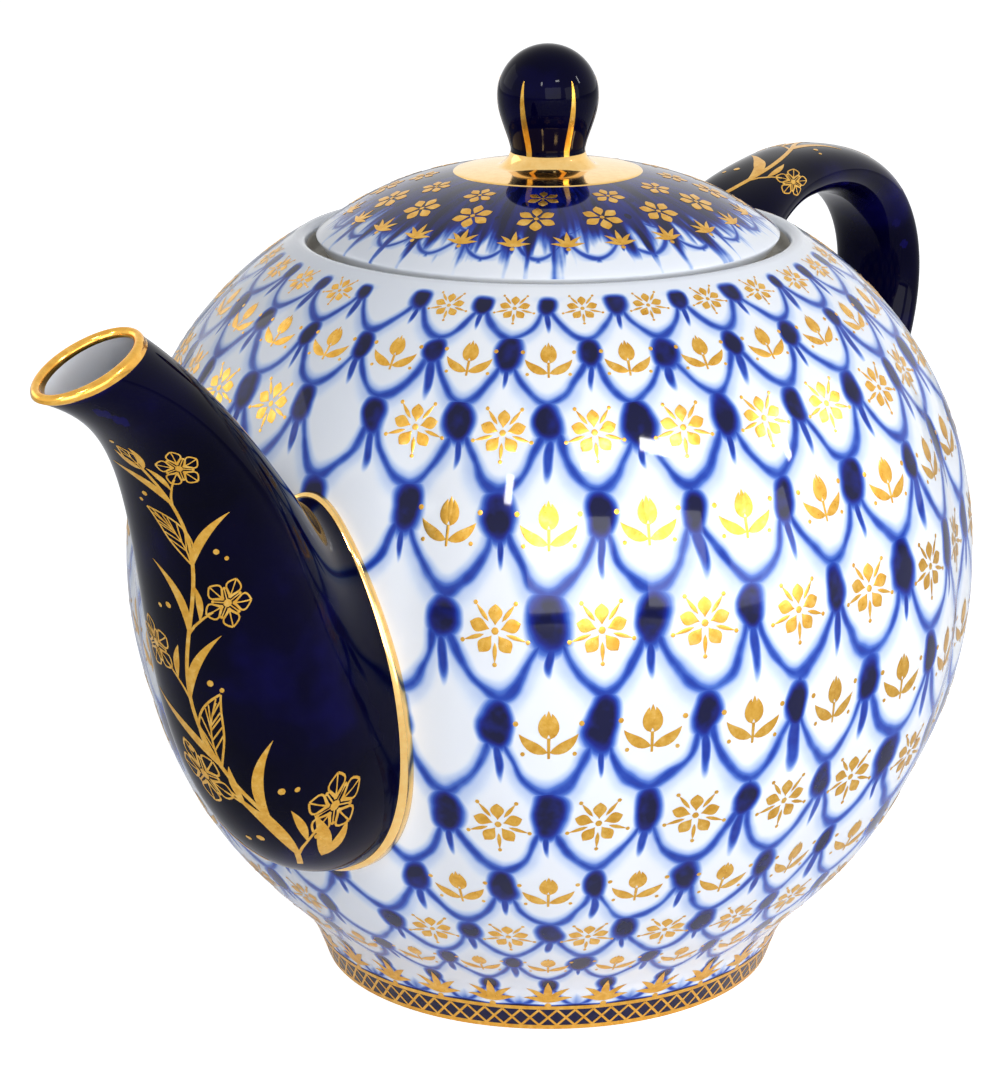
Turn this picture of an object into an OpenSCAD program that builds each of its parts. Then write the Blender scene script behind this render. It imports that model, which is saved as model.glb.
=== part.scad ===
// Lobed porcelain teapot with a lift-off lid.
// Origin: centre of the foot ring on the table. +Z up, handle towards +X, spout towards -X.
// The pot (lobed vessel, spout, handle) is one fired piece; the lid with its knob is the other.

/* [Pot vessel] */
// widest diameter, measured over the crests of the lobes
body_d = 119.8; // [95:0.2:150]
// height of the pot without its lid
body_h = 105; // [85:0.5:130]
// height of the widest level above the table
belly_h = 58; // [48:0.5:68]
// foot ring diameter on the table
foot_d = 64.6; // [50:0.2:80]
// clear diameter of the mouth above the lid seat
mouth_d = 66.4; // [56:0.2:76]
// wall of the vessel behind the creases of the lobes
wall = 3; // [2:0.1:5]
// number of lobes round the belly, one centred on the spout
lobes = 12; // [8:1:16]
// depth of the crease between two lobes
lobe_relief = 1.2; // [0:0.1:2.5]

/* [Foot and floor] */
// width of the standing ring
foot_ring_w = 3.6; // [2.5:0.1:6]
// recess under the floor
foot_recess = 3; // [1.5:0.1:5]
// thickness of the floor
floor_t = 3.6; // [2.5:0.1:6]

/* [Lid seat] */
// depth of the seat below the rim
seat_drop = 3.2; // [2:0.1:5]
// width of the ledge that carries the lid
ledge_w = 3.8; // [2.5:0.1:6]
// thickness of the ledge
ledge_t = 3.2; // [2:0.1:5]

/* [Strainer] */
// diameter of the holes through the wall behind the spout
strainer_hole_d = 3.2; // [2.5:0.1:5.5]
// spacing of the holes
strainer_pitch = 7; // [6.2:0.1:8]

/* [Spout] */
// distance of the middle of the lip from the pot axis
spout_tip_x = 97.8; // [88:0.2:115]
// height of the middle of the lip above the table
spout_tip_z = 105.8; // [98:0.2:115]
// height of the middle of the root
spout_root_z = 55.7; // [50:0.2:60]
// height of the root where it meets the belly
spout_root_l = 51; // [40:0.5:54]
// width of the root where it meets the belly
spout_root_w = 30; // [22:0.5:34]
// share of its width that the spout's root loses along its upper side
spout_pinch = 0.3; // [0:0.01:0.4]
// lip opening, outside length along the spout plane
lip_l = 16.8; // [13:0.2:20]
// lip opening, outside width
lip_w = 10.2; // [9:0.2:14]
// wall of the spout at the root
spout_wall = 3; // [2:0.1:4]
// wall of the spout at the lip
lip_wall = 1.2; // [1:0.1:2.2]
// angle of the pouring plane of the lip against the vertical
lip_turn = 72; // [60:1:80]

/* [Handle] */
// reach of the handle behind the pot axis, to the back of its curve
handle_reach = 107.6; // [95:0.2:125]
// width of the handle strap
handle_w = 14.6; // [11:0.2:18]
// thickness of the handle strap
handle_t = 7.6; // [6.5:0.1:11]
// height of the upper root
handle_top_z = 93.5; // [88:0.5:98]
// height of the lower root
handle_low_z = 31; // [24:0.5:40]
// widening of the strap at its roots
handle_flare = 1.3; // [1:0.05:1.5]

/* [Lid and knob] */
// gap between the lid edge and the mouth, all round
lid_gap = 1.3; // [0.6:0.1:2.5]
// gap between the locating ring of the lid and the throat
ring_gap = 0.9; // [0.5:0.1:2]
// height of the rounded lid edge
lid_edge_h = 3.6; // [2.5:0.1:5]
// rise of the dome above the lid edge
lid_dome_h = 9; // [6:0.2:14]
// wall of the lid
lid_wall = 3; // [2:0.1:4.5]
// length of the locating ring under the lid
lid_ring_h = 6; // [3:0.2:10]
// diameter of the knob
knob_d = 13.8; // [10:0.1:18]
// height of the knob above the dome
knob_h = 16.7; // [12:0.1:22]
// waist of the knob
knob_neck_d = 10.1; // [7:0.1:13]

/* [Gilding] */
// fired gold band, drawn thicker than life so that it can be seen and handled
gild_t = 0.3; // [0.2:0.05:0.5]
// diameter of the gold disc round the foot of the knob
collar_d = 26; // [20:0.5:34]
// height of the raised gold edge round the root of the spout
seam_w = 2.6; // [1.5:0.1:4]
// share of its height that the edge loses towards its upper end
seam_taper = 0.8; // [0:0.05:0.9]
// how far that edge stands proud of the spout
seam_t = 0.8; // [0.4:0.1:1.5]
// height of the gold rim on the lip of the spout
lip_gild_h = 0.8; // [0.6:0.1:2]

/* [Hidden] */
$fn = 96;

n_round = 96;                       // facets round the vessel, eight to a lobe
n_rise = 24;                        // rings of the vessel from foot to rim
belly_r = body_d/2;
foot_r = foot_d/2;
mouth_r = mouth_d/2;
rim_round = 1.1;
rim_r = mouth_r + rim_round + 0.5;
oval_n = 2.2;                       // a little squarer than a circle above the belly
up_h = (body_h - belly_h)/pow(1 - pow(rim_r/belly_r, oval_n), 1/oval_n);
low_h = belly_h*1.043;
foot_slope = 0.36;
seat_z = body_h - seat_drop;
throat_r = mouth_r - ledge_w;
floor_z = foot_recess + floor_t;
lid_r = mouth_r - lid_gap;
lid_edge_z = seat_z + lid_edge_h;
dome_n = 2.78;
knob_base_r = 6.4;
dome_top_z = dome_z(knob_base_r);

glaze_white = [0.93, 0.95, 0.97];
cobalt = [0.04, 0.05, 0.27];
gold = [0.83, 0.64, 0.24];

function ease(t) = t <= 0 ? 0 : t >= 1 ? 1 : t*t*(3 - 2*t);
function mix(a, b, t) = a + (b - a)*t;
function bez(p, t) = pow(1-t,3)*p[0] + 3*pow(1-t,2)*t*p[1] + 3*(1-t)*t*t*p[2] + pow(t,3)*p[3];
function bez_dir(p, t) = let (v = pow(1-t,2)*(p[1]-p[0]) + 2*(1-t)*t*(p[2]-p[1]) + t*t*(p[3]-p[2])) v/norm(v);

// ---- vessel: outline over the crests, then the lobes ----
function oval(z) = z >= belly_h
    ? belly_r*pow(max(0, 1 - pow((z - belly_h)/up_h, oval_n)), 1/oval_n)
    : belly_r*sqrt(max(0, 1 - pow((belly_h - z)/low_h, 2)));
function crest_r(z) = z >= belly_h ? oval(z)
    : pow(pow(oval(z), 20) + pow(foot_r + foot_slope*z, 20), 1/20);
function lobe_fade(z) = ease((z - 0.09*body_h)/(0.22*body_h))*ease((0.975*body_h - z)/(0.2*body_h));
function crease(a) = 1 - (sqrt(pow(cos(a*lobes/2), 2) + 0.02) - 0.1414)/0.8685;
function pot_r(a, z) = crest_r(z) - lobe_relief*lobe_fade(z)*crease(a - 180);
function level(i) = body_h*(1 - cos(180*i/n_rise))/2;
function pot_point(a, i, grow = 0) =
    let (z = level(i), r = pot_r(a, z) + grow - (i == 0 ? 0.5 : 0)) [r*cos(a), r*sin(a), z];

// ---- skins through rings of points ----
function wrap_faces(n, m, b, out) = [for (i = [0:n-2], j = [0:m-1])
    let (p = b + i*m + j, q = b + i*m + (j+1)%m, r = p + m, s = q + m)
    each out ? [[p, r, s], [p, s, q]] : [[p, s, r], [p, q, s]]];
function cap_faces(m, o, i, near) = [for (j = [0:m-1])
    let (a = o + j, b = o + (j+1)%m, c = i + (j+1)%m, d = i + j)
    each near ? [[a, b, c], [a, c, d]] : [[a, c, b], [a, d, c]]];

module closed_skin(rings) {
    m = len(rings[0]);
    n = len(rings);
    polyhedron(points = [for (r = rings) each r],
        faces = concat(wrap_faces(n, m, 0, true), [[for (j = [0:m-1]) j]],
            [[for (j = [m-1:-1:0]) (n-1)*m + j]]));
}

module tube_skin(outer, inner) {
    m = len(outer[0]);
    n = len(outer);
    polyhedron(points = concat([for (r = outer) each r], [for (r = inner) each r]),
        faces = concat(wrap_faces(n, m, 0, true), wrap_faces(n, m, n*m, false),
            cap_faces(m, 0, n*m, true), cap_faces(m, (n-1)*m, (2*n-1)*m, false)));
}

module vessel_outside() {
    closed_skin([for (i = [0:n_rise]) [for (j = [0:n_round-1]) pot_point(360*j/n_round, i)]]);
}

// the part of the vessel that a root is fitted to, grown outwards, and less so at its top by taper
module vessel_sector(mid, low, high, grow = 0, taper = 0) {
    k = 10;
    closed_skin([for (i = [low:high]) let (g = grow*(1 - taper*(i - low)/(high - low)))
        concat([for (j = [mid-k:mid+k]) pot_point(360*j/n_round, i, g)],
               [[18*cos(360*mid/n_round), 18*sin(360*mid/n_round), level(i)]])]);
}

module vessel_inside() {
    top = body_h + 5;
    shoulder_z = body_h - 11;
    rise = [for (i = [1:n_rise-1]) if (level(i) > floor_z + 1.5 && level(i) < shoulder_z - 2) level(i)];
    rotate_extrude() polygon(concat(
        [[0, floor_z], [oval(floor_z) - wall - lobe_relief - 1.5, floor_z]],
        [for (z = rise) [oval(z) - wall - lobe_relief, z]],
        [[oval(shoulder_z) - wall - lobe_relief, shoulder_z],
         [mix(throat_r, oval(shoulder_z) - wall - lobe_relief, 0.55), seat_z - ledge_t - 0.7],
         [throat_r, seat_z - ledge_t],
         [throat_r, seat_z], [mouth_r, seat_z]],
        [for (t = [0:15:90]) [mouth_r + rim_round*(1 - cos(t)), body_h - rim_round*(1 - sin(t))]],
        [[mouth_r + rim_round, top], [0, top]]));
}

module foot_hollow() {
    r = foot_r - foot_ring_w;
    rotate_extrude() polygon([[0, -1], [r + 0.6, -1], [r + 0.6, 0], [r, 0.8], [r - 1.6, foot_recess],
        [0, foot_recess]]);
}

module strainer_holes() {
    for (row = [-2:2], col = [-1:1])
        if (abs(row) < 2 || col == 0)
            translate([-belly_r - 4, (col + (row % 2 == 0 ? 0 : 0.5*(col < 1 ? 1 : -3)))*strainer_pitch,
                       spout_root_z + row*strainer_pitch*0.866])
                rotate([0, 90, 0]) cylinder(d = strainer_hole_d, h = 24, $fn = 24);
}

module pot_body() {
    color(glaze_white) difference() {
        vessel_outside();
        vessel_inside();
        foot_hollow();
        strainer_holes();
    }
}

// ---- spout: oval sections turning from upright at the root to the pouring plane ----
spout_n = 18;
spout_m = 40;
spout_path = let (a = [-0.845*belly_r, spout_root_z], d = [-spout_tip_x, spout_tip_z])
    [a, a + 0.547*spout_root_l*[-cos(5), -sin(5)], d + 0.348*spout_tip_x*[cos(26), -sin(26)], d];
function spout_long(t) = bez([spout_root_l/2, spout_root_l/2, -0.07*lip_l/2, lip_l/2], t);
function spout_wide(t) = bez([spout_root_w/2, 0.95*spout_root_w/2, 0.38*spout_root_w, lip_w/2], t);
function spout_ring(t, grow) = let (c = bez(spout_path, t), v = lip_turn*pow(t, 1.2),
        a = spout_long(t) + grow, b = spout_wide(t) + grow, f = pow(1 - t, 2))
    [for (j = [0:spout_m-1])
        let (q = 360*j/spout_m, egg = 1 - f*(0.13*cos(q) + spout_pinch*pow((1 + cos(q))/2, 3)))
        [c[0] + a*cos(q)*sin(v), b*sin(q)*egg, c[1] + a*cos(q)*cos(v)]];
function spout_thick(t) = mix(spout_wall, lip_wall, ease(t));

module spout() {
    color(cobalt) difference() {
        tube_skin([for (i = [0:spout_n]) spout_ring(i/spout_n, 0)],
                  [for (i = [0:spout_n]) spout_ring(i/spout_n, -spout_thick(i/spout_n))]);
        vessel_sector(48, 5, 20);
    }
}

// raised gold edge round the root of the spout, standing on the belly
module spout_root_band() {
    color(gold) difference() {
        intersection() {
            closed_skin([for (i = [0:0.5*spout_n]) spout_ring(i/spout_n, seam_t)]);
            vessel_sector(48, 5, 20, seam_w, seam_taper);
        }
        closed_skin([for (i = [0:0.5*spout_n + 1]) spout_ring(i/spout_n, 0)]);
        vessel_sector(48, 5, 20);
    }
}

// gold rim on the lip
module spout_lip_gilding() {
    v = lip_turn;
    up = [-cos(v), 0, sin(v)];
    function lip_ring(grow, h) = [for (p = spout_ring(1, grow)) p + h*up];
    h = lip_gild_h;
    color(gold) tube_skin(
        [lip_ring(0, 0), lip_ring(0.1, 0.35*h), lip_ring(-0.1, 0.75*h), lip_ring(-0.5*lip_wall, h)],
        [lip_ring(-lip_wall, 0), lip_ring(-lip_wall - 0.05, 0.35*h), lip_ring(-lip_wall + 0.1, 0.75*h),
         lip_ring(-0.5*lip_wall - 0.1, h)]);
}

// ---- handle: a flat strap swept along one ear-shaped curve ----
handle_n = 30;
handle_m = 28;
handle_path = let (x0 = 0.711*belly_r, x1 = 1.329*belly_r, x3 = 0.845*belly_r,
        back = handle_reach - handle_t/2)
    [[x0, handle_top_z], [x1, 1.293*handle_top_z],
     [(back - 0.055*x0 - 0.269*x1 - 0.238*x3)/0.438, handle_low_z + 0.577*handle_top_z], [x3, handle_low_z]];
function handle_ring(t) = let (c = bez(handle_path, t), d = bez_dir(handle_path, t),
        f = 1 + (handle_flare - 1)*(1 - ease(t/0.2) + ease((t - 0.8)/0.2)))
    [for (j = [0:handle_m-1]) let (q = 360*j/handle_m,
            x = f*handle_t/2*cos(q), y = f*handle_w/2*sign(sin(q))*pow(abs(sin(q)), 0.85))
        [c[0] + x*d[1], y, c[1] - x*d[0]]];

module handle() {
    color(cobalt) difference() {
        closed_skin([for (i = [0:handle_n]) handle_ring(i/handle_n)]);
        vessel_sector(0, 4, 22);
    }
}

// ---- lid ----
function dome_z(r) = lid_edge_z + lid_dome_h*(1 - pow(r/lid_r, dome_n));
dome_steps = [0.985, 0.93, 0.85, 0.74, 0.62, 0.5];

module lid() {
    ring_r = throat_r - ring_gap;
    inner_r = ring_r - lid_wall + 0.4;
    color(glaze_white) rotate_extrude() polygon(concat(
        [[0, dome_top_z - lid_wall - 0.4],
         [0.5*inner_r, dome_z(0.5*lid_r) - lid_wall - 0.5], [0.8*inner_r, dome_z(0.8*lid_r) - lid_wall - 1.2],
         [inner_r, seat_z + 0.5], [inner_r, seat_z - lid_ring_h], [inner_r + 0.8, seat_z - lid_ring_h - 0.4],
         [ring_r - 0.6, seat_z - lid_ring_h - 0.4], [ring_r, seat_z - lid_ring_h + 0.6],
         [ring_r, seat_z], [lid_r - 1.4, seat_z]],
        [for (t = [-60:20:40]) [lid_r - 1.6 + 1.6*cos(t), seat_z + 1.8 + 1.8*sin(t)]],
        [for (k = dome_steps) [k*lid_r, dome_z(k*lid_r)]],
        [[collar_d/2, dome_z(collar_d/2)], [0.65*collar_d/2, dome_z(0.65*collar_d/2)],
         [knob_base_r, dome_top_z], [0, dome_top_z]]));
}

module knob() {
    r = knob_d/2;
    neck = knob_neck_d/2;
    mid_z = dome_top_z + 0.59*knob_h;
    up = knob_h - 0.59*knob_h;
    color(cobalt) rotate_extrude() polygon(concat(
        [[0, dome_top_z], [knob_base_r, dome_top_z], [knob_base_r - 0.5, dome_top_z + 0.5],
         [neck + 0.25, dome_top_z + 1.3], [neck, dome_top_z + 2.4]],
        [for (k = [0.25:0.25:0.75]) [mix(neck, r, pow(sin(90*k), 1.2)), mix(dome_top_z + 2.4, mid_z, k)]],
        [for (t = [0:15:90]) [r*cos(t), mid_z + up*sin(t)]]));
}

// gold disc on the dome, climbing the foot of the knob
module knob_collar_gilding() {
    r = collar_d/2;
    c = 0.65*r;
    neck = knob_neck_d/2;
    color(gold) rotate_extrude() polygon([
        [knob_base_r, dome_top_z], [knob_base_r - 0.5, dome_top_z + 0.5], [neck + 0.25, dome_top_z + 1.3],
        [neck + 0.25 + gild_t, dome_top_z + 1.35], [knob_base_r - 0.2, dome_top_z + 0.8],
        [knob_base_r + 0.3, dome_top_z + gild_t],
        [c, dome_z(c) + gild_t], [r - 0.3, dome_z(r - 0.3) + gild_t], [r, dome_z(r)], [c, dome_z(c)]]);
}

pot_body();
spout();
spout_root_band();
spout_lip_gilding();
handle();
lid();
knob();
knob_collar_gilding();
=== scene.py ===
import math
import bpy
import numpy as np
from mathutils import Matrix, Vector


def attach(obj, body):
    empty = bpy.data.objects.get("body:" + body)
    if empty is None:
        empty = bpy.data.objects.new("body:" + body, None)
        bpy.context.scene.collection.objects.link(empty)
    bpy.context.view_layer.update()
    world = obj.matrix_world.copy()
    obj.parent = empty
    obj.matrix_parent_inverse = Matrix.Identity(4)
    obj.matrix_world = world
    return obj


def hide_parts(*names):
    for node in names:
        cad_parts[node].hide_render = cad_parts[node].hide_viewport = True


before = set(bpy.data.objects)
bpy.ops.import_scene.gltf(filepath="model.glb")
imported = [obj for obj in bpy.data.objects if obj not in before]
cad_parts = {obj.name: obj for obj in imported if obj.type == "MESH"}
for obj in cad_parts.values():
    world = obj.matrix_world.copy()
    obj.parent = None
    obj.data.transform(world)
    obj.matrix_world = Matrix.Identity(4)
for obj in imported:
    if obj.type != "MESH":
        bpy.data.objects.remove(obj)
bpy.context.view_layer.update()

MM = 0.001
TAU = 2 * math.pi

# ---- sizes in mm, as in the CAD
# vessel: width over the lobes, height, height of the belly, width of the foot and of the mouth
BODY_D, BODY_H, BELLY_H, FOOT_D, MOUTH_D = 119.8, 105.0, 58.0, 64.6, 66.4
WALL, LOBES, RELIEF = 3.0, 12, 1.2  # wall, lobes round the belly and depth of their creases
FOOT_RING, RECESS, FLOOR_T = 3.6, 3.0, 3.6  # standing ring, recess inside it, floor over the recess
SEAT_DROP, LEDGE_W, LEDGE_T = 3.2, 3.8, 3.2  # depth of the lid's seat, width and depth of its ledge
HOLE_D, PITCH = 3.2, 7.0  # holes of the strainer and their spacing
# spout: middle of the lip, middle of the root, and the ovals of both
TIP_X, TIP_Z, ROOT_Z, ROOT_L, ROOT_W = 97.8, 105.8, 55.7, 51.0, 30.0
LIP_L, LIP_W, SPOUT_WALL, LIP_WALL, LIP_TURN = 16.8, 10.2, 3.0, 1.2, 72.0
SPOUT_EGG, SPOUT_PINCH = 0.13, 0.3  # how the root is egg-shaped, slim on its upper side
# handle: how far it reaches, its strap, the heights of its roots and how they flare
REACH, STRAP_W, STRAP_T, TOP_Z, LOW_Z, FLARE = 107.55, 14.6, 7.6, 93.5, 31.0, 1.3
# lid: gaps round its edge and its locating ring, edge, dome, wall and depth of the ring
LID_GAP, RING_GAP, EDGE_H, DOME_H, LID_WALL, RING_H = 1.3, 0.9, 3.6, 9.0, 3.0, 6.0
KNOB_D, KNOB_H, NECK_D = 13.8, 16.7, 10.1
# gilding: disc round the knob, raised edge round the spout's root, rim of the lip
COLLAR_D, SEAM_W, SEAM_TAPER, SEAM_T, LIP_GILD = 26.0, 2.6, 0.8, 0.8, 0.8

BELLY_R, FOOT_R, MOUTH_R = BODY_D / 2, FOOT_D / 2, MOUTH_D / 2
RIM_ROUND = 1.1  # rounding of the rim
RIM_R = MOUTH_R + RIM_ROUND + 0.5
OVAL_N, DOME_N = 2.2, 2.78  # fullness of the shoulder and of the dome
UP_H = (BODY_H - BELLY_H) / (1 - (RIM_R / BELLY_R) ** OVAL_N) ** (1 / OVAL_N)
LOW_H = BELLY_H * 1.043
SEAT_Z = BODY_H - SEAT_DROP
THROAT_R = MOUTH_R - LEDGE_W
FLOOR_Z = RECESS + FLOOR_T
LID_R = MOUTH_R - LID_GAP
EDGE_Z = SEAT_Z + EDGE_H
KNOB_BASE = 6.4  # radius at which the knob's foot leaves the dome
FOOT_SLOPE, FOOT_BLEND = 0.36, 20  # flare of the foot, and how tightly it runs into the belly
BELLY_TRIM, HAIR = 0.2585, 0.1  # what that blend adds at the belly; a hair inside the solid
CREASE_ROUND, CREASE_LOW, CREASE_SPAN = 0.02, 0.1414, 0.8685  # soft bottom of a crease, and its range
FADE_LOW, FADE_LOW_OVER, FADE_HIGH, FADE_HIGH_OVER = 0.09, 0.22, 0.975, 0.2  # where creases end, of BODY_H
ROOT_IN = 0.845  # share of the belly's radius where spout and handle start


# ---- forms
def ease(t):
    t = np.clip(t, 0, 1)
    return t * t * (3 - 2 * t)


def mix(a, b, t):
    return a + (b - a) * t


def polar(r, deg):
    return r * math.cos(math.radians(deg)), r * math.sin(math.radians(deg))


def bow(points, t):
    """Point at t on the smooth bow that four points lay down."""
    t = np.asarray(t, float)
    points = [np.asarray(p, float) for p in points]
    weights = [(1 - t) ** 3, 3 * (1 - t) ** 2 * t, 3 * (1 - t) * t * t, t ** 3]
    if points[0].ndim:
        weights = [w[..., None] for w in weights]
    return sum(w * p for w, p in zip(weights, points))


def oval(z):
    """Radius of the plain oval that the vessel is thrown to, at height z."""
    shoulder = np.clip(1 - (np.clip(z - BELLY_H, 0, None) / UP_H) ** OVAL_N, 0, None)
    up = BELLY_R * shoulder ** (1 / OVAL_N)
    low = BELLY_R * np.sqrt(np.clip(1 - ((BELLY_H - z) / LOW_H) ** 2, 0, None))
    return np.where(z >= BELLY_H, up, low)


def crest_r(z):
    """Radius over the crests of the lobes, a hair under the solid's to keep the gold inside its size."""
    low = (oval(z) ** FOOT_BLEND + (FOOT_R + FOOT_SLOPE * z) ** FOOT_BLEND) ** (1 / FOOT_BLEND)
    low = low - BELLY_TRIM * (np.clip(z, 0, None) / BELLY_H) ** 8
    return np.where(z >= BELLY_H, oval(z), low) - HAIR


def pot_r(a, z):
    """Radius of the vessel's outside at angle a (radians) and height z."""
    fade = ease((z - FADE_LOW * BODY_H) / (FADE_LOW_OVER * BODY_H))
    fade = fade * ease((FADE_HIGH * BODY_H - z) / (FADE_HIGH_OVER * BODY_H))
    lobe = np.sqrt(np.cos((a - math.pi) * LOBES / 2) ** 2 + CREASE_ROUND)
    return crest_r(z) - RELIEF * fade * (1 - (lobe - CREASE_LOW) / CREASE_SPAN)


def point(r, a, z):
    """Point at radius r, angle a (radians) and height z."""
    return np.stack(np.broadcast_arrays(r * np.cos(a), r * np.sin(a), z), -1)


def pot_point(z, a):
    """Point on the vessel's outside."""
    return point(pot_r(a, z), a, z)


def dome_z(r):
    """Height of the lid's dome at radius r."""
    return EDGE_Z + DOME_H * (1 - (r / LID_R) ** DOME_N)


DOME_TOP = float(dome_z(KNOB_BASE))

spout_root, spout_tip = np.array([-ROOT_IN * BELLY_R, ROOT_Z]), np.array([-TIP_X, TIP_Z])
spout_path = [spout_root, spout_root - polar(0.547 * ROOT_L, 5),
              spout_tip + polar(0.348 * TIP_X, -26), spout_tip]


def spout_point(t, q, grow=0.0):
    """Point on the spout: t from the root (0) to the lip (1), q round it from its upper side (radians)."""
    t, q, grow = np.broadcast_arrays(t, q, grow)
    c = bow(spout_path, t)
    turn = math.radians(LIP_TURN) * np.clip(t, 0, None) ** 1.2
    tall = bow([ROOT_L / 2, ROOT_L / 2, -0.035 * LIP_L, LIP_L / 2], t) + grow
    wide = bow([ROOT_W / 2, 0.95 * ROOT_W / 2, 0.38 * ROOT_W, LIP_W / 2], t) + grow
    egg = 1 - (1 - t) ** 2 * (SPOUT_EGG * np.cos(q) + SPOUT_PINCH * ((1 + np.cos(q)) / 2) ** 3)
    return np.stack([c[..., 0] + tall * np.cos(q) * np.sin(turn), wide * np.sin(q) * egg,
                     c[..., 1] + tall * np.cos(q) * np.cos(turn)], -1)


def spout_channel(t, q, grow=0.0):
    """Point on the wall of the channel inside the spout."""
    return spout_point(t, q, grow - mix(SPOUT_WALL, LIP_WALL, ease(t)))


# the handle's bow, whose third point is set so that its outside reaches REACH where the bow is widest
bow_in, bow_up = 0.711 * BELLY_R, 1.329 * BELLY_R
bow_out = (REACH - STRAP_T / 2 - 0.055 * bow_in - 0.269 * bow_up - 0.238 * ROOT_IN * BELLY_R) / 0.438
handle_path = [(bow_in, TOP_Z), (bow_up, 1.293 * TOP_Z), (bow_out, LOW_Z + 0.577 * TOP_Z),
               (ROOT_IN * BELLY_R, LOW_Z)]


def handle_point(t, q, grow=0.0):
    """Point on the handle: t from the upper root to the lower, q round it from its outside (radians)."""
    t, q = np.broadcast_arrays(t, q)
    c = bow(handle_path, t)
    step = 1e-4
    along = bow(handle_path, t + step) - bow(handle_path, t - step)
    along /= np.linalg.norm(along, axis=-1, keepdims=True)
    flare = 1 + (FLARE - 1) * (1 - ease(t / 0.2) + ease((t - 0.8) / 0.2))
    x = (flare * STRAP_T / 2 + grow) * np.cos(q)
    y = (flare * STRAP_W / 2 + grow) * np.sign(np.sin(q)) * np.abs(np.sin(q)) ** 0.85
    return np.stack([c[..., 0] + x * along[..., 1], y, c[..., 1] - x * along[..., 0]], -1)


# ---- meshes
def blank(name, verts, faces):
    """A mesh in millimetres as an object in the scene."""
    mesh = bpy.data.meshes.new(name)
    mesh.from_pydata((np.asarray(verts, float) * MM).tolist(), [], [list(map(int, face)) for face in faces])
    mesh.update()
    piece = bpy.data.objects.new(name, mesh)
    bpy.context.scene.collection.objects.link(piece)
    return piece


def make(name, verts, faces, body, slot, finishes, stands_for=None, uv=None, finish_of_face=None):
    """A smooth piece that rides on a body; uv holds one pair per corner of a face."""
    piece = blank(name, verts, faces)
    mesh = piece.data
    if uv is not None:
        layer = mesh.uv_layers.new(name="Pattern")
        layer.data.foreach_set("uv", np.asarray(uv, np.float32).ravel())
    for finish in finishes:
        mesh.materials.append(finish)
    if finish_of_face is not None:
        mesh.polygons.foreach_set("material_index", np.asarray(finish_of_face, np.int32))
    mesh.polygons.foreach_set("use_smooth", [True] * len(mesh.polygons))
    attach(piece, body)
    if stands_for:
        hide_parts(stands_for)
    return piece


def around(cols):
    """Angles of so many columns round a ring."""
    return np.arange(cols) * TAU / cols


def pattern_uv(cols, repeats, rows):
    """Pattern coordinates of rings: so many repeats round them, and the pattern row of each."""
    u = np.arange(cols + 1) / cols * repeats
    return np.stack(np.broadcast_arrays(u[None, :], np.array(rows)[:, None]), -1)


def loft(rings, uvs=None, closed=True):
    """Quads over a grid of points (rows, columns, 3), with the pattern coordinates of their corners."""
    points = np.asarray(rings)
    n, m = points.shape[:2]
    i, j = np.meshgrid(np.arange(n - 1), np.arange(m if closed else m - 1), indexing="ij")
    i, j = i.ravel(), j.ravel()
    k = (j + 1) % m
    faces = np.stack([i * m + j, i * m + k, (i + 1) * m + k, (i + 1) * m + j], -1)
    uv = None
    if uvs is not None:
        uv = np.stack([uvs[i, j], uvs[i, j + 1], uvs[i + 1, j + 1], uvs[i + 1, j]], 1).reshape(-1, 2)
    return points.reshape(-1, 3), faces, uv


def join(parts):
    """Several (verts, faces) sets in one."""
    verts, faces, count = [], [], 0
    for v, f in parts:
        verts.append(np.asarray(v, float))
        faces.extend([[int(corner) + count for corner in face] for face in f])
        count += len(v)
    return np.concatenate(verts), faces


def capped(verts, faces, cols):
    """The faces of stacked rings, closed by a flat face at the first ring and one at the last."""
    return faces.tolist() + [list(range(cols))[::-1], list(range(len(verts) - cols, len(verts)))]


# ---- colours and materials
def linear(hexcode):
    """sRGB hex to linear RGBA."""
    c = [int(hexcode.lstrip("#")[k:k + 2], 16) / 255 for k in (0, 2, 4)]
    return tuple(x / 12.92 if x <= 0.04045 else ((x + 0.055) / 1.055) ** 2.4 for x in c) + (1.0,)


def material(name):
    m = bpy.data.materials.new(name)
    m.use_nodes = True
    m.node_tree.nodes.clear()
    return m


def node(m, kind, inputs=(), operation=None, out=0, stops=None, **settings):
    """Adds one node: inputs are sockets or plain values, in their order or by name, and stops are a ramp's
    colours. A MapRange takes its value, the two ends it comes from and the two it goes to."""
    n = m.node_tree.nodes.new("ShaderNode" + kind)
    if operation:
        n.operation = operation
    for key, value in settings.items():
        setattr(n, key, value)
    if stops:
        blend = n.color_ramp
        while len(blend.elements) < len(stops):
            blend.elements.new(0.5)
        for element, (place, colour) in zip(blend.elements, stops):
            element.position = place
            element.color = linear(colour)
    for key, value in (inputs if isinstance(inputs, dict) else dict(enumerate(inputs))).items():
        socket = n.inputs[key]
        if isinstance(value, bpy.types.NodeSocket):
            m.node_tree.links.new(value, socket)
        else:
            socket.default_value = value
    return n.outputs[out] if len(n.outputs) else n


SOFT = {"interpolation_type": "SMOOTHSTEP"}  # eases a range in and out


def every(size):
    """Scale of a noise whose patches come about every size millimetres."""
    return 1 / (size * MM)


HAND_SWAY, BRUSH_LOAD = every(8), every(4.5)  # sway of a painter's hand, and how full the brush is
POOLING, FEATHER = every(2.6), every(3.3)  # colour gathering in the glaze, and its ragged edge
GLAZE_RUN = every(14)  # long soft waves of glaze that has run and settled
SCALE_N = 1.7  # outline of a scale: 2 would be round, 1 a plain lozenge
SWAY_U, SWAY_V, PRESS = 0.22, 0.16, 0.10  # how far the lines stray, and how unevenly they are pressed
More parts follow.
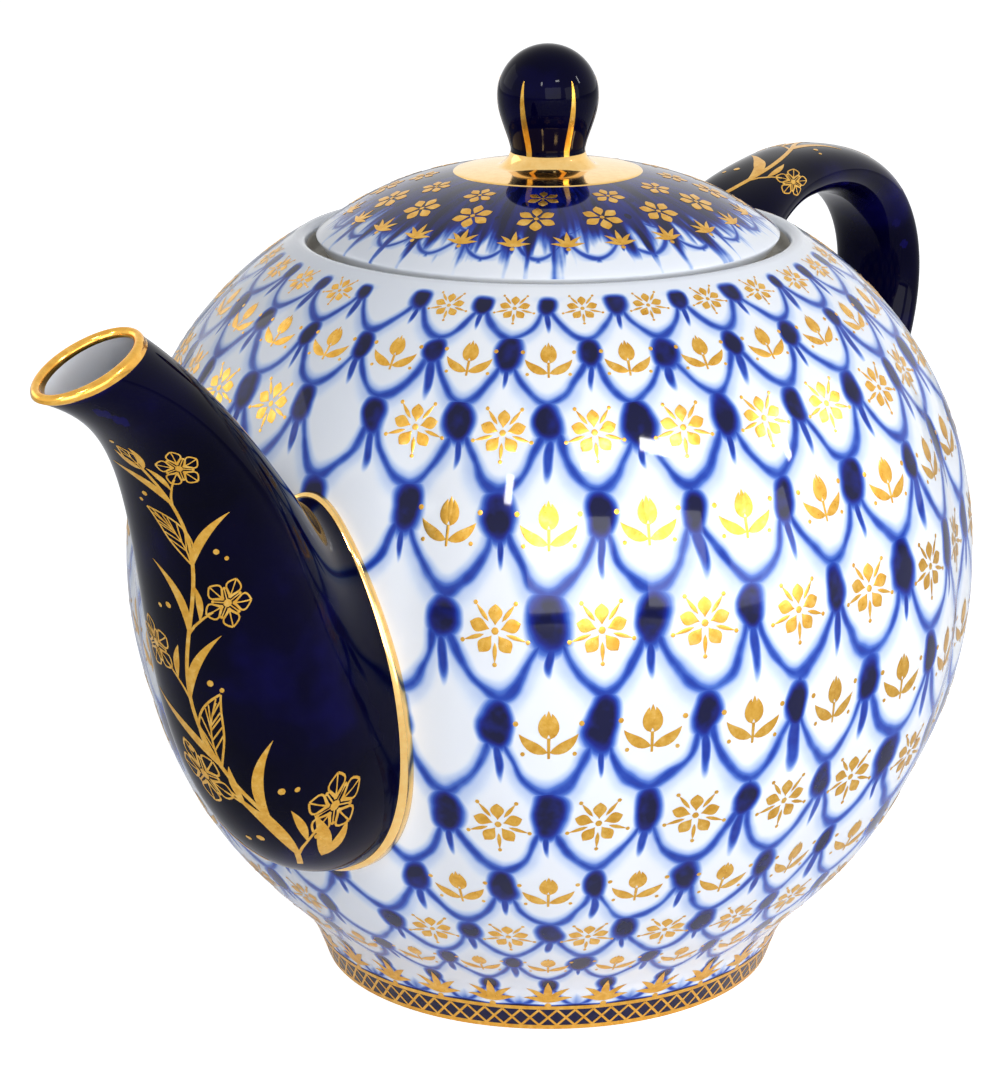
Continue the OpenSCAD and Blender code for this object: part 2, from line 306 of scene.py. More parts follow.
# brush line, its bleed, and the pale wash from under the scales above: half width and strength
LINE_W, LINE_INK, BLEED_W, BLEED_INK, WASH_W, WASH_INK = 0.10, 0.36, 0.24, 0.26, 0.42, 0.17
# drop in the notch and its tail: half width, middle, half height, strength, and what a full brush adds
DROPS = ((0.33, 0.26, 0.30, 0.98, 0.34), (0.10, 0.60, 0.26, 0.66, -0.7))
DROP_OUT, DROP_IN, RAGGED = 1.50, 0.72, 0.5  # where a drop ends and where it is full, and how ragged it is
POOL_SPREAD, POOL_LOW = 0.5, 0.76  # how much pooled colour varies, and its least
STROKES, STROKE_FADE = 15, 0.35  # strokes on the crown: how many, and how soon they part
# cobalt under the glaze, from none to a full drop
COBALT = ((0.0, "#EDF1F8"), (0.07, "#DCE6F6"), (0.20, "#A3BBE8"), (0.40, "#5077CC"), (0.60, "#2144AC"),
          (0.80, "#0F1C80"), (1.0, "#050838"))


def brushed_scales(m, u, v, repeats, last_row):
    """Cobalt strength of a ground of overlapping petal-shaped scales, brushed on and bled into the glaze.
    u counts scales round the pot and v counts rows; each scale hangs from whole v down to v - 1."""
    spot = node(m, "TexCoord", out=3)
    sway = node(m, "TexNoise", {"Vector": spot, "Scale": HAND_SWAY, "Detail": 1.0}, out=1)
    sway_u = node(m, "SeparateXYZ", (sway,))
    sway_v = node(m, "SeparateXYZ", (sway,), out=1)
    u = node(m, "Math", (sway_u, SWAY_U, u), "MULTIPLY_ADD")
    v = node(m, "Math", (sway_v, SWAY_V, v), "MULTIPLY_ADD")
    v = node(m, "Math", (v, SWAY_V / 2), "SUBTRACT")
    row = node(m, "Math", (v,), "CEIL")
    odd = node(m, "Math", (row, 1.0), "PINGPONG")
    u = node(m, "Math", (odd, 0.5, u), "MULTIPLY_ADD")
    u = node(m, "Math", (u, SWAY_U / 2), "SUBTRACT")
    notch = node(m, "Math", (u,), "ROUND")
    notch = node(m, "Math", (notch, repeats, 0.0), "WRAP")
    notch = node(m, "CombineXYZ", (notch, row))
    load = node(m, "TexWhiteNoise", {"Vector": notch})        # how full the brush was at each notch
    u = node(m, "Math", (u,), "FRACT")
    side = node(m, "Math", (u, 0.5), "SUBTRACT")
    side = node(m, "Math", (side,), "ABSOLUTE")
    side = node(m, "Math", (side, 2.0), "MULTIPLY")
    other = node(m, "Math", (1.0, side), "SUBTRACT")
    y = node(m, "Math", (row, v), "SUBTRACT")
    y_over = node(m, "Math", (y, 1.0), "ADD")
    # distance from the edge of the scale here, and from that of the scale whose tip hangs over this row
    edges = []
    for across, down in ((side, y), (other, y_over)):
        across = node(m, "Math", (across, SCALE_N), "POWER")
        down = node(m, "Math", (down, SCALE_N), "POWER")
        reach = node(m, "Math", (across, down), "ADD")
        reach = node(m, "Math", (reach, 1 / SCALE_N), "POWER")
        edges.append(node(m, "Math", (reach, 1.0), "SUBTRACT"))
    own, above = edges
    near = node(m, "Math", (own,), "ABSOLUTE")
    near = node(m, "Math", (near, above), "MINIMUM")
    press = node(m, "TexNoise", {"Vector": spot, "Scale": BRUSH_LOAD, "Detail": 1.0})
    press = node(m, "Math", (press, -PRESS, PRESS / 2), "MULTIPLY_ADD")
    near = node(m, "Math", (near, press), "ADD")
    line = node(m, "MapRange", (near, LINE_W, 0.0), **SOFT)
    bleed = node(m, "MapRange", (near, BLEED_W, 0.0, 0.0, BLEED_INK), interpolation_type="SMOOTHERSTEP")
    line = node(m, "Math", (line, LINE_INK), "MULTIPLY")
    ink = node(m, "Math", (line, bleed), "ADD")
    # pale wash that comes out from under the scales above
    outside = node(m, "Math", (own, 0.0), "GREATER_THAN")
    depth = node(m, "Mix", {0: outside, 2: above, 3: own}, data_type="FLOAT")
    wash = node(m, "MapRange", (depth, WASH_W, 0.0, 0.0, WASH_INK), **SOFT)
    ink = node(m, "Math", (ink, wash), "MAXIMUM")
    # a full drop of cobalt hanging in the notch between two scales, and its thin tail
    hung = node(m, "MapRange", (v, -0.03, 0.03))
    for wide, middle, tall, strength, fuller in DROPS:
        across = node(m, "Math", (other, wide), "DIVIDE")
        down = node(m, "Math", (y, middle), "SUBTRACT")
        down = node(m, "Math", (down, tall), "DIVIDE")
        drop = node(m, "CombineXYZ", (across, down))
        drop = node(m, "VectorMath", (drop,), "LENGTH", out=1)
        thin = node(m, "Math", (load, fuller, 1 - fuller / 2), "MULTIPLY_ADD")
        drop = node(m, "Math", (drop, thin), "MULTIPLY")
        ragged = node(m, "TexNoise", {"Vector": spot, "Scale": BRUSH_LOAD, "Detail": 1.0})
        drop = node(m, "Math", (ragged, RAGGED, drop), "MULTIPLY_ADD")
        drop = node(m, "MapRange", (drop, DROP_OUT, DROP_IN, 0.0, strength), **SOFT)
        drop = node(m, "Math", (drop, hung), "MULTIPLY")
        ink = node(m, "Math", (ink, drop), "MAXIMUM")
    pool = node(m, "TexNoise", {"Vector": spot, "Scale": POOLING, "Detail": 2.0})
    pool = node(m, "Math", (pool, POOL_SPREAD, POOL_LOW), "MULTIPLY_ADD")
    ink = node(m, "Math", (ink, pool), "MULTIPLY", use_clamp=True)
    end = node(m, "MapRange", (v, last_row - 0.01, last_row - 0.15))
    return node(m, "Math", (ink, end), "MULTIPLY")


def foot_ground(m, u, v, ragged, base_row):
    """Solid cobalt ground of the foot border, rising in soft points behind the lowest row."""
    peak = node(m, "Math", (u, 0.5), "PINGPONG")
    peak = node(m, "Math", (peak, -1.3, base_row), "MULTIPLY_ADD")
    peak = node(m, "Math", (ragged, RAGGED, peak), "MULTIPLY_ADD")
    peak = node(m, "Math", (v, peak), "SUBTRACT")
    ground = node(m, "MapRange", (peak, 0.4, -0.6), **SOFT)
    bare = node(m, "MapRange", (v, -1.96, -1.9))
    return node(m, "Math", (ground, bare), "MULTIPLY")


def crown_strokes(m, spot, v, ragged, crown):
    """The haze of long brush strokes that part and fade as they run out from the knob, and the strokes."""
    flat = node(m, "VectorMath", (spot, (1, 1, 0)), "MULTIPLY")
    flat = node(m, "VectorMath", (flat,), "NORMALIZE")
    strokes = node(m, "VectorMath", (flat, (STROKES, STROKES, 0)), "MULTIPLY")
    along = node(m, "Math", (v, STROKE_FADE), "MULTIPLY")
    along = node(m, "CombineXYZ", {2: along})
    strokes = node(m, "VectorMath", (strokes, along), "ADD")
    strokes = node(m, "TexNoise", {"Vector": strokes, "Scale": 1.0, "Detail": 2.0})
    cover = node(m, "Math", (strokes, 4.2, v), "MULTIPLY_ADD")
    cover = node(m, "Math", (ragged, RAGGED, cover), "MULTIPLY_ADD")
    haze = node(m, "MapRange", (cover, crown - 1.2, crown + 0.5, 0.0, 0.36))
    inward = node(m, "MapRange", (v, 0.3, 1.7), **SOFT)
    haze = node(m, "Math", (haze, inward), "MULTIPLY")
    cover = node(m, "MapRange", (cover, crown, crown + 1.3), **SOFT)
    full = node(m, "MapRange", (strokes, 0.34, 0.62, 0.80))
    cover = node(m, "Math", (cover, full), "MULTIPLY")
    return haze, cover


def porcelain(name, repeats=None, last_row=99.0, crown=None, base_row=None):
    """Glazed hard porcelain with underglaze cobalt: the colour is under a deep clear gloss, so its edges
    bleed and the gloss runs on over it unbroken."""
    m = material(name)
    spot = node(m, "TexCoord", out=3)
    depth = node(m, "TexNoise", {"Vector": spot, "Scale": every(36)})
    white = node(m, "ValToRGB", (depth,), stops=[(0.3, "#E6EBF3"), (0.7, "#F0F3F8")])
    colour = white
    if repeats is not None:
        uv = node(m, "UVMap", uv_map="Pattern")
        u = node(m, "SeparateXYZ", (uv,))
        v = node(m, "SeparateXYZ", (uv,), out=1)
        ink = brushed_scales(m, u, v, repeats, last_row)
        edge = node(m, "MapRange", (v, -0.16, -0.05))
        ink = node(m, "Math", (ink, edge), "MULTIPLY")
        ragged = node(m, "TexNoise", {"Vector": spot, "Scale": FEATHER})
        laid = []
        if base_row is not None:
            laid.append(foot_ground(m, u, v, ragged, base_row))
        if crown is not None:
            laid += crown_strokes(m, spot, v, ragged, crown)
        for layer in laid:
            ink = node(m, "Math", (ink, layer), "MAXIMUM")
        blue = node(m, "ValToRGB", (ink,), stops=COBALT)
        on = node(m, "MapRange", (ink, 0.0, 0.08))
        colour = node(m, "Mix", {0: on, 6: white, 7: blue}, data_type="RGBA", out=2)
    wave = node(m, "TexNoise", {"Vector": spot, "Scale": GLAZE_RUN, "Detail": 1.0})
    wave = node(m, "Bump", {"Height": wave, "Strength": 0.30, "Distance": 0.45 * MM})
    glaze = node(m, "BsdfPrincipled", {
        "Base Color": colour, "Roughness": 0.05, "IOR": 1.5, "Specular IOR Level": 0.26, "Normal": wave,
        "Subsurface Weight": 0.06, "Subsurface Radius": (0.004, 0.004, 0.005), "Subsurface Scale": 0.4})
    node(m, "OutputMaterial", {"Surface": glaze})
    return m


def solid_cobalt(name):
    """Cobalt laid on thick under the glaze: nearly black, with a painted sheen that turns it bluer along
    convex edges, where the glaze also draws thin.
    """
    m = material(name)
    spot = node(m, "TexCoord", out=3)
    cloud = node(m, "TexNoise", {"Vector": spot, "Scale": every(17), "Detail": 3.0, "Roughness": 0.6})
    # painted sheen: convex edges are turned bluer, standing in for the highlights they catch as well as for
    # the glaze drawn thin there
    crest = node(m, "NewGeometry", out=7)
    thin = node(m, "MapRange", (crest, 0.50, 0.56, 0.0, 0.35))
    thin = node(m, "Math", (cloud, 0.9, thin), "MULTIPLY_ADD")
    colour = node(m, "ValToRGB", (thin,), stops=[(0.3, "#010110"), (0.52, "#03021F"), (0.75, "#0A0744")])
    wave = node(m, "TexNoise", {"Vector": spot, "Scale": GLAZE_RUN})
    wave = node(m, "Bump", {"Height": wave, "Strength": 0.22, "Distance": 0.3 * MM})
    glaze = node(m, "BsdfPrincipled", {
        "Base Color": colour, "Roughness": 0.04, "IOR": 1.5, "Specular IOR Level": 0.05, "Normal": wave})
    node(m, "OutputMaterial", {"Surface": glaze})
    return m


def bright_gold(name, dull, uneven, grain, shades):
    """Fired liquid gold, painted on the glaze: bright, a little uneven from the brush, thinner in places."""
    m = material(name)
    spot = node(m, "TexCoord", out=3)
    brush = node(m, "TexNoise", {"Vector": spot, "Scale": every(1.1), "Detail": 3.0, "Roughness": 0.6})
    colour = node(m, "ValToRGB", (brush,), stops=list(zip((0.3, 0.55, 0.8), shades)))
    worn = node(m, "TexNoise", {"Vector": spot, "Scale": every(0.7)})
    rough = node(m, "MapRange", {"Value": worn, "To Min": dull, "To Max": dull + uneven})
    fine = node(m, "TexNoise", {"Vector": spot, "Scale": every(0.55)})
    fine = node(m, "Bump", {"Height": fine, "Strength": grain, "Distance": 0.05 * MM})
    film = node(m, "BsdfPrincipled", {
        "Base Color": colour, "Metallic": 1.0, "Roughness": rough, "Normal": fine})
    node(m, "OutputMaterial", {"Surface": film})
    return m


def biscuit(name):
    """Unglazed porcelain of the standing ring: dry, fine and very slightly warm."""
    m = material(name)
    spot = node(m, "TexCoord", out=3)
    cloud = node(m, "TexNoise", {"Vector": spot, "Scale": every(1.1), "Detail": 3.0})
    colour = node(m, "ValToRGB", (cloud,), stops=[(0.3, "#CFC9BD"), (0.7, "#DED9CE")])
    pores = node(m, "TexNoise", {"Vector": spot, "Scale": every(0.25)})
    pores = node(m, "Bump", {"Height": pores, "Strength": 0.3, "Distance": 0.04 * MM})
    clay = node(m, "BsdfPrincipled", {"Base Color": colour, "Roughness": 0.72, "Normal": pores})
    node(m, "OutputMaterial", {"Surface": clay})
    return m


ROWS, REPEATS = 11, 28  # rows of scales up the vessel, and scales round it
LID_REPEATS = 24  # scales round the lid
pot_glaze = porcelain("glazed porcelain with underglaze cobalt scales", REPEATS, last_row=ROWS, base_row=-0.1)
lid_glaze = porcelain("glazed porcelain lid with cobalt crown", LID_REPEATS, crown=2.2)
plain_glaze = porcelain("glazed white porcelain")
cobalt_glaze = solid_cobalt("glaze over solid underglaze cobalt")
gold_line = bright_gold("fired bright gold line", 0.20, 0.22, 0.25, ("#D39A38", "#E3B04E", "#F0C976"))
gold_band = bright_gold("burnished gold band", 0.07, 0.07, 0.05, ("#F3C474", "#F8CD80", "#FBD48C"))
gold_lip = bright_gold("heavy gold on the lip", 0.10, 0.12, 0.10, ("#E3A546", "#EDB552", "#F5C566"))
bare_clay = biscuit("unglazed biscuit porcelain")

# ---- vessel
Z_BAND = 4.5  # top of the foot border
OFF_PATTERN, FOOT_EDGE_ROW = -3.0, -1.84  # pattern row of what stays white, and of the foot's edge
HOLE_ROWS = 0.866  # spacing of the strainer's rows in PITCH, which keeps all its holes PITCH apart
CREST_W, LID_CREST_W = -1.35, -0.85  # how much closer the rows stand where the form is narrow


def spaced_rows(r, z, widest, closer):
    """Length along an outline, and a count along it that grows faster where the outline is narrow."""
    length = np.concatenate([[0], np.cumsum(np.hypot(np.diff(z), np.diff(r)))])
    rate = (r / widest) ** closer
    return length, np.concatenate([[0], np.cumsum(0.5 * (rate[1:] + rate[:-1]) * np.diff(length))])


heights = np.linspace(0.0, BODY_H, 4001)
outline_length, pattern_rows = spaced_rows(crest_r(heights), heights, BELLY_R, CREST_W)
row_0, row_last = np.interp(Z_BAND, heights, pattern_rows), np.interp(BODY_H - 0.9, heights, pattern_rows)
pattern_rows = (pattern_rows - row_0) / (row_last - row_0) * ROWS


def row_of_z(z):
    """Pattern row at height z: 0 at the foot border, ROWS at the rim, -1 to -2 on the border itself."""
    on_border = -1.0 - (Z_BAND - z) / Z_BAND * 0.85
    return float(np.interp(z, heights, pattern_rows)) if z >= Z_BAND else on_border


def z_of_row(row):
    return float(np.interp(row, pattern_rows, heights))


def inner_r(z):
    """Radius of the pot's inside."""
    return float(oval(z)) - WALL - RELIEF


def strainer_pins():
    """Nine pins that drill the strainer through the wall behind the spout, in rows of 1, 2, 3, 2 and 1."""
    sides = 20
    q = around(sides) + TAU / sides / 2
    pins = []
    for row in range(-2, 3):
        for k in range(3 - abs(row)):
            y = (k - (2 - abs(row)) / 2) * PITCH + HOLE_D / 2 * np.cos(q)
            z = ROOT_Z + row * PITCH * HOLE_ROWS + HOLE_D / 2 * np.sin(q)
            v, f, _ = loft([np.stack([np.full(sides, x), y, z], -1) for x in (-64.0, -44.0)])
            pins.append((v, capped(v, f, sides)))
    return blank("strainer_pins", *join(pins))


def vessel():
    cols = 336
    a = around(cols)
    outside = np.interp(np.linspace(0, outline_length[-1], 190), outline_length, heights)[1:]
    # underside, from its flat middle out over the unglazed standing ring
    ring_in = FOOT_R - FOOT_RING
    under = [(10, RECESS), (20, RECESS), (ring_in - 3, RECESS), (ring_in - 1.7, RECESS - 0.12),
             (ring_in - 1.1, RECESS - 0.8), (ring_in - 0.4, 0.9), (ring_in, 0.35), (ring_in + 0.5, 0.0),
             (FOOT_R - 0.9, 0.0)]
    rings = [point(r, a, h) for r, h in under + [(FOOT_R - 0.35, 0.12)]]
    rows = [OFF_PATTERN] * len(under) + [FOOT_EDGE_ROW]
    bare = list(range(len(under) - 4, len(under) - 1))
    rings += [pot_point(h, a) for h in outside]
    rows += [row_of_z(h) for h in outside]
    # rounded rim, then the unglazed seat, the throat and the inside down to its flat middle
    for t in np.linspace(0, math.pi / 2, 7):
        inwards, down = RIM_ROUND * math.sin(t), RIM_ROUND * (1 - math.cos(t))
        rings.append(point(MOUTH_R + RIM_ROUND - inwards, a, BODY_H - down))
        rows.append(ROWS + 1.0)
    bare += list(range(len(rings) - 1, len(rings) + 3))
    shoulder = BODY_H - 11
    inside = [(MOUTH_R, SEAT_Z + 0.5), (MOUTH_R - 0.15, SEAT_Z + 0.1), (MOUTH_R - 0.6, SEAT_Z),
              (THROAT_R + 0.3, SEAT_Z), (THROAT_R, SEAT_Z - 0.3), (THROAT_R, SEAT_Z - LEDGE_T),
              (mix(THROAT_R, inner_r(shoulder), 0.55), SEAT_Z - LEDGE_T - 0.7)]
    inside += [(inner_r(h), h) for h in np.linspace(shoulder, FLOOR_Z + 1.5, 48)]
    inside += [(inner_r(FLOOR_Z) - 1.5, FLOOR_Z), (18, FLOOR_Z), (9, FLOOR_Z)]
    rings += [point(r, a, h) for r, h in inside]
    rows += [OFF_PATTERN] * len(inside)
    v, f, uv = loft(rings, pattern_uv(cols, REPEATS, rows))
    unglazed = np.isin(np.arange(len(f)) // cols, bare).astype(int)
    # the flat middles of the recess and of the floor close the vessel
    f = capped(v, f, cols)
    uv = np.concatenate([uv, np.full((2 * cols, 2), OFF_PATTERN)])
    pot = make("vessel", v, f, "pot", "glaze_white", (pot_glaze, bare_clay), "pot_body", uv,
               np.append(unglazed, [0, 0]))
    # drill the strainer
    pins = strainer_pins()
    drill = pot.modifiers.new("strainer", "BOOLEAN")
    drill.object, drill.operation, drill.solver = pins, "DIFFERENCE", "EXACT"
    drilled = bpy.data.meshes.new_from_object(pot.evaluated_get(bpy.context.evaluated_depsgraph_get()))
    pot.modifiers.clear()
    blind = pot.data
    pot.data = drilled
    bpy.data.meshes.remove(blind)
    drilled.name = "vessel"
    bpy.data.objects.remove(pins)


vessel()


# ---- spout and handle
def off_pot(p):
    """Distance out from the vessel's surface, along its radius."""
    x, y, z = np.moveaxis(p, -1, 0)
    return np.hypot(x, y) - pot_r(np.arctan2(y, x), np.clip(z, 0, BODY_H))


def seam_share(z):
    """How much of its full size the raised edge keeps at height z, as it thins towards its upper end."""
    slice_of_vessel = 24 * np.arccos(1 - 2 * np.clip(z / BODY_H, 0, 1)) / math.pi
    return 1 - SEAM_TAPER * (slice_of_vessel - 5) / 15


def meet(surface, q, low, high, grow=0.0, up_the_seam=0.0):
    """For each q, the t between low and high where a surface, grown by grow, stands on the vessel; or off it
    by that share of the raised edge's width."""
    a, b = np.full(len(q), low, float), np.full(len(q), high, float)
    for _ in range(40):
        c = (a + b) / 2
        p = surface(c, q, grow)
        inside = off_pot(p) < up_the_seam * SEAM_W * seam_share(p[..., 2])
        a, b = np.where(inside, c, a), np.where(inside, b, c)
    return (a + b) / 2


def spout():
    cols = 128
    q = around(cols)
    joint, channel_joint = meet(spout_point, q, 0.0, 0.45), meet(spout_channel, q, 0.0, 0.45)
    steps = np.linspace(0, 1, 120)
    out = [spout_point(mix(joint, 1, k), q) for k in steps]
    back = [spout_channel(mix(channel_joint, 1, k), q) for k in steps[::-1]]
    v, f, _ = loft(out + back + out[:1])
    v, f = v[:-cols], f % (len(v) - cols)
    inside = np.arange(len(f)) // cols >= len(steps) - 1
    make("spout_body", v, f, "pot", "glaze_cobalt", (cobalt_glaze, plain_glaze), "spout", None, inside)
    # raised gold edge on the belly: how far up its width, and how proud of the spout
    section = ((0.0, SEAM_T - 0.12), (0.08, SEAM_T), (0.45, SEAM_T), (0.7, 0.93 * SEAM_T),
               (0.86, 0.75 * SEAM_T), (0.96, 0.4 * SEAM_T), (1.0, -0.05))
    rings = []
    for share, proud in section:
        foot = spout_point(meet(spout_point, q, 0.0, 0.6, proud), q, proud)
        grow = proud * (0.25 + 0.75 * seam_share(foot[:, 2])) if proud > 0 else proud
        rings.append(spout_point(meet(spout_point, q, 0.0, 0.6, grow, share), q, grow))
    v, f, _ = loft(rings)
    make("spout_root_edge", v, f, "pot", "gilding", [gold_band], "spout_root_band")
    # gilded lip: how far out from the wall's outside, and how far above or below the mouth
    up = np.array([-math.cos(math.radians(LIP_TURN)), 0, math.sin(math.radians(LIP_TURN))])
    half = LIP_WALL / 2
    section = [(0.03, -0.5), (0.06, -0.4)]
    over = np.linspace(0, math.pi, 13)
    section += [((half + 0.08) * math.cos(k) - half, LIP_GILD * math.sin(k)) for k in over]
    section += [(-LIP_WALL - 0.07, -0.3), (-LIP_WALL - 0.03, -0.45)]
    rings = [spout_point(1.0 + min(h, 0) / 84, q, out) + up * max(h, 0) for out, h in section]
    v, f, _ = loft(rings)
    make("spout_lip", v, f, "pot", "gilding", [gold_lip], "spout_lip_gilding")


def handle():
    q = around(96)
    upper, lower = meet(handle_point, q, 0.0, 0.3), meet(handle_point, q, 1.0, 0.7)
    v, f, _ = loft([handle_point(mix(upper, lower, k), q) for k in np.linspace(0, 1, 170)])
    make("handle_strap", v, f, "pot", "glaze_cobalt", [cobalt_glaze], "handle")


spout()
handle()


# ---- lid, knob and collar
def turned(profile, cols, rows=None):
    """Surface of revolution through (radius, height) pairs, with a pattern row for each."""
    a = around(cols)
    return loft([point(r, a, h) for r, h in profile], rows and pattern_uv(cols, LID_REPEATS, rows))


LID_ROW = 5.6  # height of a row of scales on the lid, at its edge
lid_radii = np.linspace(LID_R - 0.4, 5.0, 900)
lid_rows = spaced_rows(lid_radii, dome_z(lid_radii), LID_R, LID_CREST_W)[1] / LID_ROW
lid_rows -= np.interp(2.4 - LID_R, -lid_radii, lid_rows)


def lid():
    cols = 288
    ring_r = THROAT_R - RING_GAP
    ring_in = ring_r - LID_WALL + 0.4
    # the hollow, from the top down, then round the locating ring and out along the seat
    hollow = [(0.01, DOME_TOP - LID_WALL - 0.4)]
    hollow += [(k * ring_in, float(dome_z(k * LID_R)) - LID_WALL - 0.5 - 0.7 * k ** 4)
               for k in (0.25, 0.5, 0.65, 0.8, 0.88)]
    foot = SEAT_Z - RING_H
    hollow += [(ring_in - 0.6, SEAT_Z + 1.6), (ring_in, SEAT_Z + 0.4), (ring_in, foot),
               (ring_in + 0.2, foot - 0.25), (ring_in + 0.8, foot - 0.4), (ring_r - 0.6, foot - 0.4),
               (ring_r - 0.15, foot - 0.1), (ring_r, foot + 0.6), (ring_r, SEAT_Z - 0.3),
               (ring_r + 0.3, SEAT_Z), (LID_R - 1.8, SEAT_Z), (LID_R - 1.68, SEAT_Z + 0.12),
               (LID_R - 1.65, SEAT_Z + 0.4)]
    wiped = range(len(hollow) - 6, len(hollow) + 2)
    curl = ((1.55, 0.8), (1.25, 1.3), (0.95, 1.8), (0.66, 2.25), (0.40, 2.62), (0.19, 2.92), (0.06, 3.14))
    hollow += [(LID_R - inwards, SEAT_Z + up) for inwards, up in curl]
    # the rounded edge, from its widest line into the slope of the dome
    turn_r = 0.90 * LID_R
    turn_z = float(dome_z(turn_r))
    corner_z = turn_z + float(dome_z(turn_r + 0.5) - dome_z(turn_r - 0.5)) * (LID_R - turn_r)
    top = [((1 - k * k) * LID_R + k * k * turn_r,
            (1 - k) ** 2 * (SEAT_Z + 3.35) + 2 * k * (1 - k) * corner_z + k * k * turn_z)
           for k in np.linspace(0, 1, 16)[:-1]]
    top += [(r, float(dome_z(r))) for r in np.linspace(0.90, KNOB_BASE / LID_R, 100) * LID_R]
    rows = [OFF_PATTERN] * len(hollow) + [float(np.interp(-r, -lid_radii, lid_rows)) for r, h in top]
    v, f, uv = turned(hollow + top, cols, rows)
    unglazed = np.isin(np.arange(len(f)) // cols, wiped)
    make("lid_dome", v, f, "lid", "glaze_white", (lid_glaze, bare_clay), "lid", uv, unglazed)


def knob_profile():
    r, neck = KNOB_D / 2, NECK_D / 2
    mid, up = DOME_TOP + 0.59 * KNOB_H, 0.41 * KNOB_H
    foot = ((KNOB_BASE, 0.02), (KNOB_BASE - 0.35, 0.4), (neck + 0.55, 0.9), (neck + 0.2, 1.4),
            (neck + 0.03, 2.0), (neck, 2.5))
    p = [(out, DOME_TOP + h) for out, h in foot]
    p += [(mix(neck, r, math.sin(math.pi / 2 * k) ** 1.35), mix(DOME_TOP + 2.4, mid, k))
          for k in np.linspace(0.07, 0.95, 20)]
    p += [(max(r * math.cos(t), 0.01), mid + up * math.sin(t)) for t in np.linspace(0, math.pi / 2, 28)]
    return p


def knob():
    v, f, _ = turned(knob_profile(), 120)
    make("knob_ball", v, f, "lid", "glaze_cobalt", [cobalt_glaze], "knob")


def collar():
    """Gold disc on the crown of the lid, run up the foot of the knob."""
    r, neck = COLLAR_D / 2, NECK_D / 2
    p = [(r + 0.02, float(dome_z(r)) - 0.02), (r - 0.05, float(dome_z(r - 0.05)) + 0.08)]
    p += [(k, float(dome_z(k)) + 0.12) for k in np.linspace(r - 0.2, KNOB_BASE + 0.5, 16)]
    cuff = ((KNOB_BASE + 0.1, 0.24), (KNOB_BASE - 0.25, 0.55), (neck + 0.68, 0.98), (neck + 0.33, 1.45),
            (neck + 0.15, 1.9), (neck + 0.02, 2.0))
    p += [(out, DOME_TOP + h) for out, h in cuff]
    v, f, _ = turned(p, 200)
    make("knob_collar", v, f, "lid", "gilding", [gold_band], "knob_collar_gilding")


lid()
knob()
collar()


# ---- gold ornament, laid on the glaze as thin leaf
LEAF_LIFT, LEAF_SWELL = 0.035, 0.03  # how proud of the glaze the gold lies, and more along its middle
LEAF_TIP = 0.02  # half width that is left at the tip of a leaf
STEP = 1e-4  # step by which the slopes of a surface are felt out


def leaf(x, y, deg, length, width, bend=0.0, n=8, fat=0.8):
    """A pointed leaf in mm from (x, y) towards deg, bending on its way: its spine and its half widths."""
    s = np.linspace(0, 1, n)
    heading = math.radians(deg) + math.radians(bend) * s
    heading = 0.5 * (heading[1:] + heading[:-1])
    steps = np.stack([np.cos(heading), np.sin(heading)], -1) * length / (n - 1)
    spine = np.concatenate([[(0, 0)], np.cumsum(steps, axis=0)]) + (x, y)
    return spine, width / 2 * np.sin(math.pi * s ** fat) + LEAF_TIP


def dot(x, y, r, n=7):
    s = np.linspace(-1, 1, n)
    return np.stack([x + r * s, np.full(n, y)], -1), r * np.sqrt(np.clip(1 - s * s, 0.003, 1))


def stroke(points, start_w, end_w=None):
    points = np.asarray(points, float)
    return points, np.linspace(start_w, start_w if end_w is None else end_w, len(points)) / 2


def unit(v):
    return v / np.linalg.norm(v, axis=-1, keepdims=True)


def sideways(spine):
    d = unit(np.gradient(spine, axis=0))
    return np.stack([-d[:, 1], d[:, 0]], -1)


def drawn(shape, pen=0.30, ribs=3):
    """A leaf drawn with a pen: its outline, its midrib and slanting ribs."""
    spine, half = shape
    side = sideways(spine) * half[:, None]
    lines = [stroke(spine + side, pen), stroke(spine - side, pen), stroke(spine[:-2], pen, 0.5 * pen)]
    last = len(spine) - 1
    for k in range(ribs):
        start = 0.22 + 0.5 * k / max(ribs - 1, 1)
        i, j = int(start * last), min(int((start + 0.2) * last) + 1, last)
        for sign in (1, -1):
            lines.append(stroke([spine[i], mix(spine[i], spine[j] + sign * side[j], 0.92)], 0.7 * pen))
    return lines


def three(middle, off):
    """The three lines of a strip: its middle, between two edges."""
    return np.stack(np.broadcast_arrays(middle + off, middle, middle - off), 1)


def lie(surface, a, b):
    """How a surface lies at (a, b): a unit step as b grows, one square to it as a grows, and what turns steps
    in mm into steps of a and b."""
    here = surface(a, b)
    by_a, by_b = (surface(a + STEP, b) - here) / STEP, (surface(a, b + STEP) - here) / STEP
    across = unit(by_b)
    upward = unit(by_a - across * (by_a * across).sum(-1, keepdims=True))
    return across, upward, np.swapaxes(np.linalg.pinv(np.stack([by_a, by_b], -1)), -1, -2)


